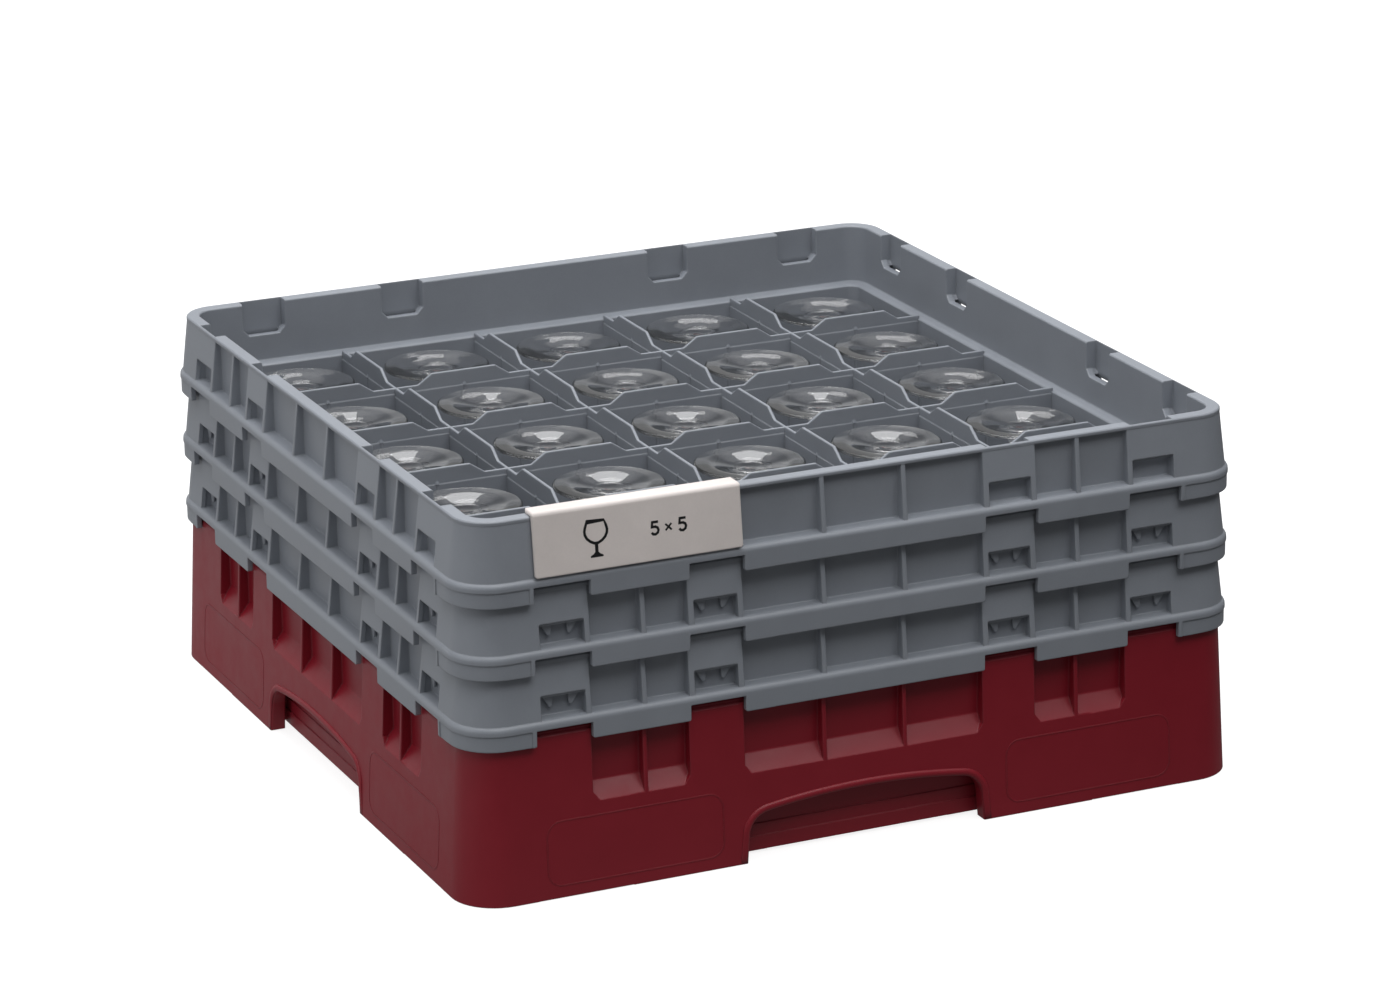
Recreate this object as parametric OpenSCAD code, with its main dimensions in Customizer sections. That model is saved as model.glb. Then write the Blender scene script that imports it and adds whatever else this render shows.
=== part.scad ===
// Open-sided glass rack for a commercial glass washer: one base rack, three
// stacking extenders that each carry a 5 x 5 compartment grid, a clip-on
// label and 25 stemmed glasses standing mouth down in the compartments.
// Millimetres, +Z up, origin at the middle of the footprint on the table.
// The front faces -Y; glass rows count towards +Y and columns towards +X.

/* [Rack] */
// Outside width of the square rack, measured across two opposite skirts
rack_w = 500; // [490:1:520]
// Height of the base rack, from the table to the top of its rim
base_h = 100.5; // [96:0.5:108]
// Height that each extender adds to the stack
ext_step = 42.6; // [42.2:0.1:46]
// Outside radius of the four upright corners
corner_r = 27; // [26:0.5:29]
// How far the base rack widens from its rim to the table, per side
base_flare = 5.3; // [5.1:0.1:7]
// Clear vertical gap between stacked rims
seat_gap = 0.3; // [0.2:0.1:0.5]

/* [Extender wall] */
// Height of an extender's rim above its underside
rim_h = 42.3; // [42:0.1:42.3]
// Height of the outside ledge above the underside
ledge_h = 7.4; // [6.5:0.1:8]
// How far the skirt tabs hang below the underside
tab_drop = 7.4; // [5:0.1:9]
// Thickness of the skirt
skirt_t = 3.5; // [3:0.1:3.6]
// Width of the rim's top face
rim_w = 8.4; // [7.6:0.1:8.6]
// Thickness of the drafted outer panels
panel_t = 3; // [2.5:0.1:3]
// Thickness of the upright ribs in the outside pockets
rib_t = 3; // [2:0.1:3.5]
// Half width of the middle skirt tab
tab_mid = 77.1; // [74:0.1:79]
// Distance from the middle to the near edge of the side skirt tab
tab_near = 111.6; // [110:0.1:114]
// Distance from the middle to the far edge of the side skirt tab
tab_far = 172.4; // [170:0.1:174]
// Distance from the middle to the edge of the corner skirt tab
tab_corner = 207; // [205:0.1:207.5]
// Distance of the two ribs of the middle pocket from the middle
rib_mid = 26; // [20:0.5:32]
// Distance of the rib of the side pocket from the middle
rib_side = 139.4; // [130:0.1:150]

/* [Windows and locking teeth] */
// Middle of the inner wash window, from the middle of the side
win_near = 94.3; // [93.8:0.1:94.8]
// Middle of the outer wash window, from the middle of the side
win_far = 189.3; // [189:0.1:190.5]
// Width of a wash window
win_w = 27.6; // [24:0.1:28]
// Height of a wash window
win_h = 13.9; // [10:0.1:16]
// Width of the notch in the rim above a window
notch_w = 28.4; // [26:0.1:28.6]
// How far the locking teeth hang below an extender
tooth_l = 30.2; // [26:0.1:31]
// Width of a locking tooth's neck
tooth_w = 4.8; // [4:0.1:5.2]
// How far the barb of a tooth stands out sideways
tooth_barb = 1.8; // [0.6:0.1:1.8]
// Gap between the two teeth of a pair
tooth_gap = 8.6; // [8:0.1:9]

/* [Compartment grid] */
// Height of a divider at a crossing, above the extender's underside
grid_low = 4.6; // [3:0.1:6]
// Height of a divider at the middle of a cell, above the underside
grid_high = 11; // [8:0.1:11]
// Depth of the grid below the extender's underside
grid_drop = 31.2; // [28:0.1:31.2]
// Thickness of a divider's upper edge
grid_t = 2; // [1.6:0.1:2.6]
// Thickness of the lower part of a divider
grid_low_t = 2.9; // [2.6:0.1:3.4]

/* [Base rack] */
// Height at which the outside pockets of the base rack start
pocket_z = 54.3; // [50:0.1:56]
// Rise of the sloping floor of those pockets
pocket_rise = 10.5; // [8:0.1:12]
// Height of the middle of the hand opening
hand_z = 34.3; // [30:0.1:36]
// Half width of the hand opening
hand_w = 75.5; // [70:0.1:77]
// Top of the open floor that the glasses stand on
floor_z = 18; // [16:0.1:20]
// Thickness of the floor bars
floor_t = 7.5; // [6:0.1:8]

/* [Glass] */
// Height of a glass from mouth rim to foot
glass_h = 169.7; // [150:0.1:169.8]
// Radius of the foot
foot_r = 34; // [30:0.1:38]
// Largest radius of the bowl
bowl_r = 39.5; // [34:0.1:41]
// Radius of the mouth
mouth_r = 31; // [26:0.1:36]
// Radius of the stem at its thinnest
stem_r = 3.9; // [3:0.1:5]
// Thickness of the bowl's wall
glass_t = 1.5; // [1.2:0.1:2]

/* [Label clip] */
// Width of the clip-on label
label_w = 127.6; // [90:0.1:128]
// Middle of the label, from the middle of the front
label_x = -142.2; // [-143:0.1:-120]
// Thickness of the label's front plate
label_t = 2.1; // [1.6:0.1:2.4]

/* [Hidden] */

// Distances outwards from the middle of the rack
half = rack_w / 2;
edge = half - corner_r;          // end of the straight part of a side
cells = 5;
cell = (rack_w - 40) / cells;    // grid pitch
grid_half = cell * cells / 2;    // inside face of the grid's frame
wall_in = half - 14;             // inside face of the wall above the grid
wall_out = half - 9.5;           // back of the outside pockets
rim_out = wall_in + rim_w;
panel_foot = half - 1.8;         // drafted panels at the ledge
panel_head = half - 5.8;         // drafted panels under the rim
strip_in = half - 6.8;           // back of the thin rim strip left at a notch
tooth_in = half - 8.8;           // locking teeth run between the wall and that strip
tooth_out = half - 7.3;

// Heights
notch_z = ledge_h + win_h - 0.4; // foot of a notch above the underside
seat_1 = base_h + seat_gap;      // undersides of the three extenders
seat_2 = seat_1 + ext_step;
seat_3 = seat_2 + ext_step;
base_datum = base_h - rim_h;     // matches an extender's underside
rim_under = 2.5;                 // underside of the rim, below its top
rim_bevel = 0.8;

// Places along a side; a span is [from, to]
skirt_step = tab_corner + 2.6;   // corner skirts are set back from here on
windows = [-win_far, -win_near, win_near, win_far];
ribs = [-rib_side, -rib_mid, rib_mid, rib_side];
tab_spans = concat([[-tab_mid, tab_mid]], both([tab_near, tab_far]));
// solid posts beside the notches, right of the middle
post_spans = [
    [tab_mid, win_near - notch_w / 2],
    [win_near + notch_w / 2, tab_near],
    [tab_far, win_far - notch_w / 2],
    [win_far + notch_w / 2, win_far + notch_w / 2 + 2]];
cell_middles = [for (i = [0:cells - 1]) (i - (cells - 1) / 2) * cell];

maroon = [0.40, 0.08, 0.12];
grey = [0.45, 0.48, 0.51];
beige = [0.80, 0.77, 0.72];
clear = [0.80, 0.86, 0.88, 0.45];

// ---- Helpers ----

// A span and its mirror image about the middle.
function both(span) = [span, [-span[1], -span[0]]];

function centred(middle, width) = [middle - width / 2, middle + width / 2];

// Points of an arc round (x, y); skip leaves out points at each end.
function arc(x, y, radius, start, end, steps, skip = 0) =
    [for (i = [skip:steps - skip])
        let (angle = start + (end - start) * i / steps)
        [x + radius * cos(angle), y + radius * sin(angle)]];

// Rounded rectangle between two opposite corners.
function rounded(low, high, radius) =
    [for (quarter = [0:3]) each arc(
        quarter == 0 || quarter == 3 ? high[0] - radius : low[0] + radius,
        quarter < 2 ? high[1] - radius : low[1] + radius,
        radius, 90 * quarter, 90 * quarter + 90, 6)];

// A side is drawn once, with x along the side and its face at y = -distance.
module sides() for (angle = [0:90:270]) rotate([0, 0, angle]) children();

module mirrored() for (flip = [0, 1]) mirror([flip, 0, 0]) children();

module at_windows() for (x = windows) translate([x, 0, 0]) children();

// Stretches a profile of (distance from the middle, height) over a span.
module bar(span)
    translate([span[1], 0, 0]) rotate([90, 0, -90])
        linear_extrude(span[1] - span[0]) children();

module bars(spans) for (span = spans) bar(span) children();

// Turns a profile round one upright corner.
module bend()
    translate([edge, edge, 0]) rotate_extrude(angle = 90, $fn = 96)
        translate([-edge, 0]) children();

// Takes a profile once round the rounded square.
module ring() sides() {
    bar([-edge, edge]) children();
    bend() children();
}

// Extrudes an outline of (x, z) through the wall, between two distances.
module through(inside, outside)
    translate([0, -inside, 0]) rotate([90, 0, 0]) linear_extrude(outside - inside) children();

// ---- Parts shared by the base rack and the extenders ----

// Outline from the back of the pockets over the rim and down to the grid's frame.
function rim_points(datum, top) = [
    [wall_out, top - rim_under], [rim_out, top - rim_under],
    [rim_out, top - rim_bevel], [rim_out - rim_bevel, top],
    [wall_in + rim_bevel, top], [wall_in, top - rim_bevel],
    [wall_in, datum + 4], [wall_in - 3, datum + 3.5],
    [grid_half + 0.8, datum + 2.6], [grid_half, datum + 1.8]];

// Notches in the rim, with cut corners at their foot.
module rim_notches(inside, datum) {
    side = notch_w / 2;
    cut = 4.2;
    foot = datum + notch_z;
    top = datum + rim_h + 1;
    sides() at_windows() through(inside, strip_in)
        polygon([[-side, top], [-side, foot + cut], [-side + cut, foot],
            [side - cut, foot], [side, foot + cut], [side, top]]);
}

// Blocks that fill the cut corners behind the panel; the barbs snap past their tips.
module catch_blocks(datum) {
    side = notch_w / 2;
    foot = datum + notch_z;
    sides() at_windows() mirrored() through(wall_out - 0.1, wall_out + 2.9)
        polygon([[side - 3.1, foot + 0.5], [side + 0.3, foot + 0.5],
            [side + 0.3, foot + 3.9], [side, foot + 3.6]]);
}

// Upper edge of a divider: low at the crossings and raised in each cell.
function crest(low, high) =
    [for (x = cell_middles)
        each [[x - 31, low], [x - 21.5, high], [x + 21.5, high], [x + 31, low]]];

// A base divider stands on the floor only near the crossings, so water drains.
function drained_points(top, bottom, reach) = concat(
    [[-reach, top], [-reach, bottom]],
    [for (x = cell_middles) let (arch = bottom + 16)
        each [[x - 28, bottom], [x - 22, arch], [x + 22, arch], [x + 28, bottom]]],
    [[reach, bottom], [reach, top]]);

// Upright plate of an (x, z) outline, centred on y = 0.
module plate(thickness)
    translate([0, thickness / 2, 0]) rotate([90, 0, 0]) linear_extrude(thickness) children();

// One divider along x. The thick lower part ends at seam and reach is half the length.
module divider(low, high, seam, bottom, reach, drained) {
    strip_foot = bottom + (drained ? 22 : 0);
    strip_w = 1.2;
    strip_out = 0.3;
    plate(grid_t)
        polygon(concat([[-reach, seam - 1], [-reach, low]], crest(low, high),
            [[reach, low], [reach, seam - 1]]));
    plate(grid_low_t)
        polygon(drained ? drained_points(seam, bottom, reach)
            : [[-reach, bottom], [reach, bottom], [reach, seam], [-reach, seam]]);
    // a cone on the seam and an upright strip below it, at the middle of each cell
    for (x = cell_middles) translate([x, 0, seam]) {
        translate([0, 0, -0.2]) cylinder(h = 4.6, r1 = 2, r2 = 0.3, $fn = 24);
        translate([-strip_w / 2, -grid_low_t / 2 - strip_out, strip_foot - seam])
            cube([strip_w, grid_low_t + 2 * strip_out, seam - strip_foot - 0.15]);
    }
}

// All eight dividers; those along y have a lower seam.
module grid(datum, bottom, reach, drained) {
    low = datum + grid_low;
    last = cells / 2 - 1;
    for (turn = [0, 1]) rotate([0, 0, 90 * turn])
        for (k = [-last:1:last]) translate([0, k * cell, 0])
            divider(low, datum + grid_high, low - 3.6 - 1.6 * turn, bottom, reach, drained);
}

// ---- Extender ----

// Rim, inner wall, grid shelf, grid frame and ledge.
module ext_profile() polygon(concat(
    [[grid_half, -grid_drop], [grid_half + 2.4, -grid_drop], [grid_half + 2.4, 0],
     [wall_out, 0], [wall_out, ledge_h - 3], [half - skirt_t, ledge_h - 3],
     [half - skirt_t, 2], [half, 2]],
    arc(half - skirt_t, ledge_h - skirt_t, skirt_t, 0, 90, 6),
    [[wall_out, ledge_h]],
    rim_points(0, rim_h)));

// Area between two upright lines at the back and the drafted outer face.
module draft_profile(back_foot, back_head)
    polygon([[back_foot, ledge_h_foot], [panel_foot, ledge_h_foot],
        [panel_head, rim_h - 2], [back_head, rim_h - 2]]);
ledge_h_foot = 6.4;              // panels and ribs start here, inside the ledge

module panel_profile() draft_profile(panel_foot - panel_t, panel_head - panel_t);

module rib_profile() draft_profile(wall_out - 0.6, wall_out - 0.6);

// Skirt tab; the ones round the corners are set back a little under the ledge.
module tab_profile(back = 0)
    polygon([[half - skirt_t, -tab_drop], [half - back, -tab_drop],
        [half - back, 3], [half - skirt_t, 3]]);

// One locking tooth, right of the window's middle: a neck, an outward barb and a round tip.
module tooth() {
    near = tooth_gap / 2;
    neck = near + tooth_w;
    barb = neck + tooth_barb;
    tip = -tooth_l;
    polygon([[near, 4.6], [near + 0.2, tip + 8], [near + 0.6, tip + 2.4], [near + 0.9, tip + 1],
        [near + 1.4, tip + 0.3], [near + 2.1, tip], [near + 2.8, tip + 0.25],
        [near + 3.4, tip + 0.9], [barb - 0.4, tip + 6], [barb, tip + 6.6],
        [barb - 0.2, tip + 7], [neck, tip + 7.4], [neck, 4.6]]);
}

module ext_wall() difference() {
    union() {
        ring() ext_profile();
        sides() {
            for (x = ribs) bar(centred(x, rib_t)) rib_profile();
            mirrored() bars(post_spans) rib_profile();
        }
    }
    rim_notches(wall_in - 1, 0);
}

// Drafted panels with their wash windows.
module ext_panels() difference() {
    sides() {
        bars(both([tab_mid + 0.1, tab_near - 0.1])) panel_profile();
        bars(both([tab_far + 0.1, edge])) panel_profile();
        bend() panel_profile();
    }
    // the opening is lower at the back, which leaves a lip behind its upper edge
    sides() at_windows() {
        through(half - 10, half - 4.8) translate([-win_w / 2, 5]) square([win_w, notch_z - 6.3]);
        through(half - 4.9, half + 1)
            translate([-win_w / 2, 5]) square([win_w, ledge_h + win_h - 5]);
    }
    rim_notches(half - 10, 0);
}

module skirt_tabs() sides() {
    bars(tab_spans) tab_profile();
    bars(both([tab_corner, skirt_step])) tab_profile();
    bars(both([skirt_step, edge])) tab_profile(0.5);
    bend() tab_profile(0.5);
}

module extender() color(grey) {
    ext_wall();
    catch_blocks(0);
    ext_panels();
    skirt_tabs();
    sides() at_windows() mirrored() through(tooth_in, tooth_out) tooth();
    grid(0, -grid_drop, grid_half + 1, false);
}

// ---- Base rack ----

shell_t = 3.2;
shell_head = base_h - 3.5;       // the flare ends here and the shell turns in to the rim
web_t = 2.4;                     // webs behind the shell, below the pockets
web_near = 85.8;                 // near face of the web closest to the middle
web_spans = [[web_near, web_near + web_t], [tab_near - web_t, tab_near],
    [tab_far, tab_far + web_t]];
hand_crown_r = 430;              // crowned top of the hand opening
hand_shoulder_r = 14;

// Outer face of the base rack at height z.
function flare(z) = half + 1 - base_flare * z / base_h;

// Inner wall, stepping in at the floor, with the rim on top.
module base_profile() polygon(concat(
    [[grid_half + 3.4, 1.5], [wall_out - 2.5, 1.5],
     [wall_out - 2.5, floor_z - floor_t], [wall_out - 3.2, floor_z - floor_t],
     [wall_out - 3.2, floor_z], [wall_out - 3.9, floor_z],
     [wall_out - 3.9, base_datum - 2], [wall_out, base_datum + 2]],
    rim_points(base_datum, base_h),
    [[grid_half, base_datum - 1], [grid_half + 3.4, base_datum - 1]]));

module shell_profile()
    polygon([[flare(0) - shell_t, 0], [flare(0), 0], [flare(shell_head), shell_head],
        [rim_out, base_h - 1.4], [rim_out - 2.8, base_h - 1.4],
        [flare(shell_head) - shell_t, shell_head]]);

// Web from a distance out to the shell's face, between two heights.
module web_profile(inside, bottom, top)
    polygon([[inside, bottom], [flare(bottom) - 0.02, bottom],
        [flare(top) - 0.02, top], [inside, top]]);

// Sloping floor of a pocket.
module ramp_profile()
    polygon([[flare(pocket_z) - 3.4, pocket_z - 3], [flare(pocket_z) - 0.3, pocket_z - 3],
        [flare(pocket_z) - 0.02, pocket_z], [wall_out - 0.3, pocket_z + pocket_rise],
        [wall_out - 0.3, pocket_z + pocket_rise - 4]]);

// Outline of an outside pocket, with cut corners at its foot.
module pocket(span)
    polygon([[span[0], base_h], [span[0], pocket_z + 5.5], [span[0] + 4, pocket_z],
        [span[1] - 4, pocket_z], [span[1], pocket_z + 5.5], [span[1], base_h]]);

// Hand opening: straight sides, round shoulders and a slightly crowned top, grown outwards.
module hand(grow = 0) {
    crown_z = hand_z - hand_crown_r;
    between = hand_crown_r - hand_shoulder_r;   // from crown centre to shoulder centre
    shoulder_x = hand_w - hand_shoulder_r;
    shoulder_z = crown_z + sqrt(pow(between, 2) - shoulder_x * shoulder_x);
    meet = acos(-shoulder_x / between);         // where the left shoulder meets the crown
    foot_x = hand_w + 1.5 + grow;
    shoulder = hand_shoulder_r + grow;
    polygon(concat(
        [[-foot_x, -1]],
        arc(-shoulder_x, shoulder_z, shoulder, 180, meet, 8),
        arc(0, crown_z, hand_crown_r + grow, meet, 180 - meet, 18, skip = 1),
        arc(shoulder_x, shoulder_z, shoulder, 180 - meet, 0, 8),
        [[foot_x, -1]]));
}

// Flared outer shell with its pockets and hand openings.
module base_shell() difference() {
    ring() shell_profile();
    sides() through(half - 9, half + 3) for (span = tab_spans) pocket(span);
    sides() through(half - 9, half + 3) hand();
    rim_notches(half - 10, base_datum);
}

// Turned-in lip of each hand opening, cut off level with the table.
module hand_lips() sides() intersection() {
    through(wall_out + 1, half - 2.2) difference() {
        hand(3);
        hand();
    }
    translate([-half, -half - 5, 0]) cube([2 * half, 60, 60]);
}

module base_webs() sides() {
    for (span = tab_spans) bar([span[0] - 0.5, span[1] + 0.5]) ramp_profile();
    for (x = ribs)
        bar(centred(x, rib_t - 0.4)) web_profile(wall_out - 0.4, pocket_z, base_h - 2.4);
    mirrored() {
        bars(post_spans) web_profile(wall_out - 0.4, pocket_z - 2, base_h - 2.4);
        bars(web_spans) web_profile(wall_out - 4.2, 2, pocket_z - 1.9);
    }
}

// Open floor: four bars to a cell, wider under the dividers.
module open_floor()
    translate([0, 0, floor_z - floor_t]) linear_extrude(floor_t)
        for (turn = [0, 1]) rotate(90 * turn)
            for (i = [-9:9]) let (width = abs(i) % 4 == 2 ? 4.6 : 2.6)
                translate([-grid_half - 4, i * cell / 4 - width / 2])
                    square([2 * grid_half + 8, width]);

module base_rack() color(maroon) {
    difference() {
        ring() base_profile();
        rim_notches(wall_in - 1, base_datum);
    }
    catch_blocks(base_datum);
    base_shell();
    hand_lips();
    base_webs();
    open_floor();
    grid(base_datum, floor_z - 0.4, grid_half + 4, true);
}

// ---- Glass ----

bowl_h = 98;
hollow_h = bowl_h - glass_t * 5.5;
bowl_top_r = stem_r + 1.2;       // bowl where it meets the stem
widest = 0.56;                   // place of the largest radius, as a part of the bowl
bowl_steps = 14;

// Outside radius of the bowl: part is 0 at the stem and 1 at the mouth.
function bowl_side(part) = part < widest
    ? bowl_top_r + (bowl_r - bowl_top_r) * pow(sin(90 * part / widest), 0.72)
    : mouth_r + (bowl_r - mouth_r) * cos(90 * (part - widest) / (1 - widest));

// A stemmed glass standing mouth down on z = 0; points are (radius, height).
module glass() {
    top = glass_h;
    // face of the foot, from the middle outwards, and its edge
    foot_face = [[0, top - 3.6], [6, top - 3.2], [12, top - 2.2], [18, top - 1.1],
        [24, top - 0.35], [30, top], [foot_r - 0.9, top], [foot_r, top - 0.9],
        [foot_r - 0.6, top - 1.9]];
    foot_back = [for (i = [1:8]) let (part = i / 8)
        [stem_r + 1.0 + (foot_r - stem_r - 1.6) * pow(1 - part, 1.9),
         top - 2.2 - 15.8 * pow(part, 2.1)]];
    stem = [[stem_r, top - 26], [stem_r, 112], [stem_r + 0.4, 104]];
    outer = [for (i = [0:bowl_steps]) let (part = i / bowl_steps)
        [bowl_side(part), bowl_h * (1 - part)]];
    inner = [for (i = [0:bowl_steps]) let (part = 1 - i / bowl_steps)
        [bowl_side(part) - glass_t, hollow_h * (1 - part)]];
    rotate_extrude($fn = 72)
        polygon(concat(foot_face, foot_back, stem, outer, inner, [[0, hollow_h]]));
}

module glass_at(row, column)
    color(clear)
        translate([cell_middles[column - 1], cell_middles[row - 1], floor_z + 0.2]) glass();

// ---- Label clip ----

// Front plate and the hook over the rim, in the top extender's own height.
module label_profile() {
    foot = panel_foot + 0.45;
    head = rim_out + 0.45;
    polygon([[foot, ledge_h + 0.25], [foot + label_t, ledge_h + 0.25],
        [head + label_t, rim_h + 0.3], [rim_out + 2.2, rim_h + 1.3],
        [rim_out + 1.5, rim_h + 2.1], [rim_out + 0.5, rim_h + 2.5],
        [rim_out - 0.6, rim_h + 2.6], [wall_in - 0.2, rim_h + 2.6],
        [wall_in - 0.8, rim_h + 2.35], [wall_in - 1.2, rim_h + 1.7],
        [wall_in - 1.2, rim_h - 4.5], [wall_in - 0.7, rim_h - 5],
        [wall_in - 0.2, rim_h - 4.5], [wall_in - 0.2, rim_h + 0.3], [head, rim_h + 0.3]]);
}

// The profile, with its corners rounded as seen from the front and from above.
module label_clip() {
    ends = centred(label_x, label_w);
    color(beige) translate([0, 0, seat_3]) intersection() {
        bar(ends) label_profile();
        through(wall_in - 4, half + 4)
            polygon(rounded([ends[0], ledge_h + 0.2], [ends[1], rim_h + 2.7], 1.6));
        translate([0, 0, -10]) linear_extrude(80)
            polygon(rounded([ends[0], -half - 6], [ends[1], -wall_in + 1.2], 3));
    }
}

base_rack();
translate([0, 0, seat_1]) extender();  // extender_1
translate([0, 0, seat_2]) extender();  // extender_2
translate([0, 0, seat_3]) extender();  // extender_3
label_clip();
glass_at(1, 1);  // glass_r1_c1
glass_at(1, 2);  // glass_r1_c2
glass_at(1, 3);  // glass_r1_c3
glass_at(1, 4);  // glass_r1_c4
glass_at(1, 5);  // glass_r1_c5
glass_at(2, 1);  // glass_r2_c1
glass_at(2, 2);  // glass_r2_c2
glass_at(2, 3);  // glass_r2_c3
glass_at(2, 4);  // glass_r2_c4
glass_at(2, 5);  // glass_r2_c5
glass_at(3, 1);  // glass_r3_c1
glass_at(3, 2);  // glass_r3_c2
glass_at(3, 3);  // glass_r3_c3
glass_at(3, 4);  // glass_r3_c4
glass_at(3, 5);  // glass_r3_c5
glass_at(4, 1);  // glass_r4_c1
glass_at(4, 2);  // glass_r4_c2
glass_at(4, 3);  // glass_r4_c3
glass_at(4, 4);  // glass_r4_c4
glass_at(4, 5);  // glass_r4_c5
glass_at(5, 1);  // glass_r5_c1
glass_at(5, 2);  // glass_r5_c2
glass_at(5, 3);  // glass_r5_c3
glass_at(5, 4);  // glass_r5_c4
glass_at(5, 5);  // glass_r5_c5
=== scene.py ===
"""Looks for a square glass-washer rack with three extenders, a label clip and 25 stemmed glasses.

The rack is centred on the z axis and its base starts at z = 0. Its four sides face +x, -x, +y
and -y; -y is the front and carries the label. The extenders stack on the base, and the glasses
stand in five rows of five, upside down on their rims.
"""
import math

import bmesh
import bpy
import numpy as np
from mathutils import Matrix, Vector


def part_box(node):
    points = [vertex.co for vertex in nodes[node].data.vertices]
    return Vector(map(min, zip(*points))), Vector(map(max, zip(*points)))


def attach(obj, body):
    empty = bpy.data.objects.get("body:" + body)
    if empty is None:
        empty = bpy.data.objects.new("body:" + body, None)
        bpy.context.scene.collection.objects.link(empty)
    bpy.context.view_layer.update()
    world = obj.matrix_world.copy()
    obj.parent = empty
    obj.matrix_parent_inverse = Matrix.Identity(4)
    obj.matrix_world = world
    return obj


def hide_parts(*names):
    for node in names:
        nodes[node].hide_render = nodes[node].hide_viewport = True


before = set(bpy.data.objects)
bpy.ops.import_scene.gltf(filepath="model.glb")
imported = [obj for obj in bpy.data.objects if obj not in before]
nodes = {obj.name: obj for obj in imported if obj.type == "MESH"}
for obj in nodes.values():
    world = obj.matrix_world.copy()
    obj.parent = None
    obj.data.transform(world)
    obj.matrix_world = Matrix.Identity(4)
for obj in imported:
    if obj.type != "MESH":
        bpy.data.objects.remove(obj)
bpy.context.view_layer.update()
scene = bpy.context.scene
MM = 0.001


# ---------------------------------------------------------------- bevel helpers
FOLD_LIMIT = 0.6e-6  # surplus area, in m2, that marks a face as folded over itself
MAX_BEVEL_ANGLE = 152.0


def in_plane_width(face):
    """How far a face reaches inwards from each of its edges (shortest of three samples)."""
    corners = np.array([l.vert.co for l in face.loops], float)
    normal = np.array(face.normal, float)
    sides = np.roll(corners, -1, axis=0) - corners
    lengths = np.maximum(np.linalg.norm(sides, axis=1), 1e-12)
    along = sides / lengths[:, None]
    inward = np.cross(normal[None, :], along)
    width = np.full(len(corners), 1e9)
    for share in (0.12, 0.5, 0.88):
        start = corners + sides * share
        # ray start + distance * inward against segments corner[j] + part * side[j]
        rel = corners[None, :, :] - start[:, None, :]
        rel_in = np.einsum("ik,ijk->ij", inward, rel)
        rel_along = np.einsum("ik,ijk->ij", along, rel)
        side_in = np.einsum("ik,jk->ij", inward, sides)
        side_along = np.einsum("ik,jk->ij", along, sides)
        with np.errstate(divide="ignore", invalid="ignore"):
            part = -rel_along / side_along
            distance = rel_in + part * side_in
        hit = (np.abs(side_along) > 1e-12) & (part >= -1e-6) & (part <= 1 + 1e-6)
        hit &= distance > 1e-6
        np.fill_diagonal(hit, False)
        width = np.minimum(width, np.where(hit, distance, 1e9).min(axis=1))
    return width


def folded(bm):
    """Faces whose triangles cover more than the face itself."""
    total = {}
    for triangle in bm.calc_loop_triangles():
        face = triangle[0].face
        if len(face.verts) < 5:
            continue
        a, b, c = (l.vert.co for l in triangle)
        total[face] = total.get(face, 0.0) + (b - a).cross(c - a).length / 2
    return [face for face, area in total.items() if area - face.calc_area() > FOLD_LIMIT]


def crowded_at(loop, edge, left, width):
    """Edges to leave sharp because rounding edge would overrun this corner of a face."""
    if loop.edge is edge:
        other = loop.link_loop_prev.edge
    elif loop.link_loop_prev.edge is edge:
        other = loop.edge
    else:
        return ()
    vert = loop.vert
    edge_len = edge.calc_length()
    other_len = other.calc_length()
    edge_dir = (edge.other_vert(vert).co - vert.co) / max(edge_len, 1e-9)
    other_dir = (other.other_vert(vert).co - vert.co) / max(other_len, 1e-9)
    cosine = max(-1.0, min(1.0, edge_dir.dot(other_dir)))
    if cosine < -0.985:
        return ()
    if not loop.is_convex:
        return () if other in left else (edge,)
    angle = math.acos(cosine)
    if other in left:
        cut = width / max(math.tan(angle / 2), 1e-3)
        return (edge, other) if cut > 0.45 * edge_len or cut > 0.45 * other_len else ()
    return (edge,) if width / max(math.sin(angle), 1e-3) > 0.8 * other_len else ()


def roomy(keep, width):
    """Drops edges whose rounding would run past a corner of one of their faces."""
    left = set(keep)
    for _ in range(8):
        drop = set()
        for edge in left:
            for face in edge.link_faces:
                for loop in face.loops:
                    if loop.vert in edge.verts:
                        drop.update(crowded_at(loop, edge, left, width))
        if not drop:
            break
        left -= drop
    return [e for e in keep if e in left]


def ends_clear(edge, width):
    """True if no very short edge carries on in line from either end."""
    direction = (edge.verts[1].co - edge.verts[0].co).normalized()
    for vert in edge.verts:
        for other in vert.link_edges:
            if other is edge:
                continue
            step = other.other_vert(vert).co - vert.co
            length = step.length
            if length < 1e-9:
                return False
            if abs(step.dot(direction)) / length < 0.9 and length < 1.25 * width:
                return False
    return True


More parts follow.
